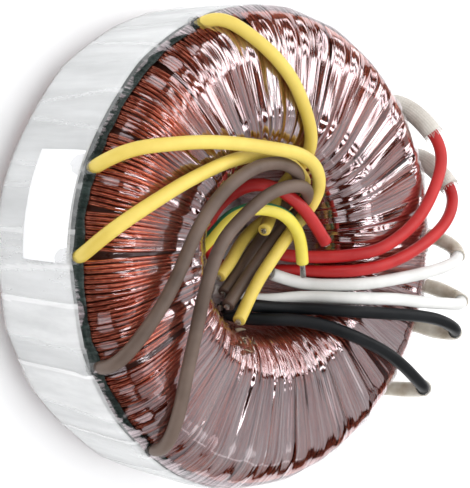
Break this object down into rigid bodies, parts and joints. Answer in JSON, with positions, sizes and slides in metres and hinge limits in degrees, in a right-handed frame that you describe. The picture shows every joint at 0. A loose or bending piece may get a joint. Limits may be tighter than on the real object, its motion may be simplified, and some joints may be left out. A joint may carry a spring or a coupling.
{
  "type": "toroidal power transformer",
  "caption": "Film-wrapped toroidal power transformer, lying flat, with coloured flying leads folded into its centre hole.",
  "frame": {"origin": "centre of the resting face, on the ring's axis", "axes": "+Z along the ring's axis, up from the resting face to the face where the leads lie; the sleeved leads leave the rim on +X and the plain leads on -X"},
  "size_m": [0.1653, 0.15, 0.0635],
  "materials": {
    "core_steel": "wound silicon steel strip, fine turned edges",
    "pressboard": "matt pressboard",
    "amber_tape": "yellowish adhesive tape",
    "polyester_film": "overlapped milky polyester film",
    "enamelled_copper": "close-wound enamelled copper",
    "enamelled_copper_outer": "close-wound enamelled copper, glossy red-brown enamel",
    "copper_foil": "thin copper foil",
    "dark_green_strip": "dark green insulating strip",
    "white_band": "white polyester fleece band",
    "white_label": "blank white label",
    "clear_film": "clear overlapped film with tension wrinkles, very glossy",
    "pvc_yellow": "semi-gloss yellow insulation",
    "pvc_brown": "semi-gloss grey-brown insulation",
    "pvc_earth": "yellow insulation with a green stripe",
    "pvc_red": "semi-gloss red insulation",
    "pvc_white": "semi-gloss white insulation",
    "pvc_black": "semi-gloss black insulation",
    "tinned_strand": "tinned copper strands",
    "woven_sleeve": "woven glass-fibre sleeve, frayed at its end",
    "clear_sleeve": "translucent shrunk sleeve"
  },
  "bodies": {
    "root": {"core": "core_steel", "core_washer_top": "pressboard", "core_washer_bottom": "pressboard", "core_tape": "amber_tape", "winding_red": "enamelled_copper", "insulation_1": "polyester_film", "winding_white": "enamelled_copper", "insulation_2": "polyester_film", "winding_black": "enamelled_copper", "insulation_3": "polyester_film", "screen_foil": "copper_foil", "insulation_4": "polyester_film", "winding_brown": "enamelled_copper", "insulation_5": "polyester_film", "winding_yellow": "enamelled_copper_outer", "rim_strip": "dark_green_strip", "rim_band": "white_band", "label": "white_label", "outer_film": "clear_film", "lead_yellow_a": "pvc_yellow", "lead_yellow_b": "pvc_yellow", "lead_yellow_c": "pvc_yellow", "lead_brown_a": "pvc_brown", "lead_brown_b": "pvc_brown", "lead_earth": "pvc_earth", "lead_red_a": "pvc_red", "lead_red_b": "pvc_red", "lead_white_a": "pvc_white", "lead_white_b": "pvc_white", "lead_black_a": "pvc_black", "lead_black_b": "pvc_black", "strand_yellow_a": "tinned_strand", "strand_yellow_b": "tinned_strand", "strand_yellow_c": "tinned_strand", "strand_brown_a": "tinned_strand", "strand_brown_b": "tinned_strand", "strand_earth": "tinned_strand", "strand_red_a": "tinned_strand", "strand_red_b": "tinned_strand", "strand_white_a": "tinned_strand", "strand_white_b": "tinned_strand", "strand_black_a": "tinned_strand", "strand_black_b": "tinned_strand", "sleeve_red_a": "woven_sleeve", "sleeve_red_b": "woven_sleeve", "sleeve_white_a": "clear_sleeve", "sleeve_white_b": "clear_sleeve", "sleeve_black_a": "clear_sleeve", "sleeve_black_b": "clear_sleeve"}
  },
  "joints": []
}
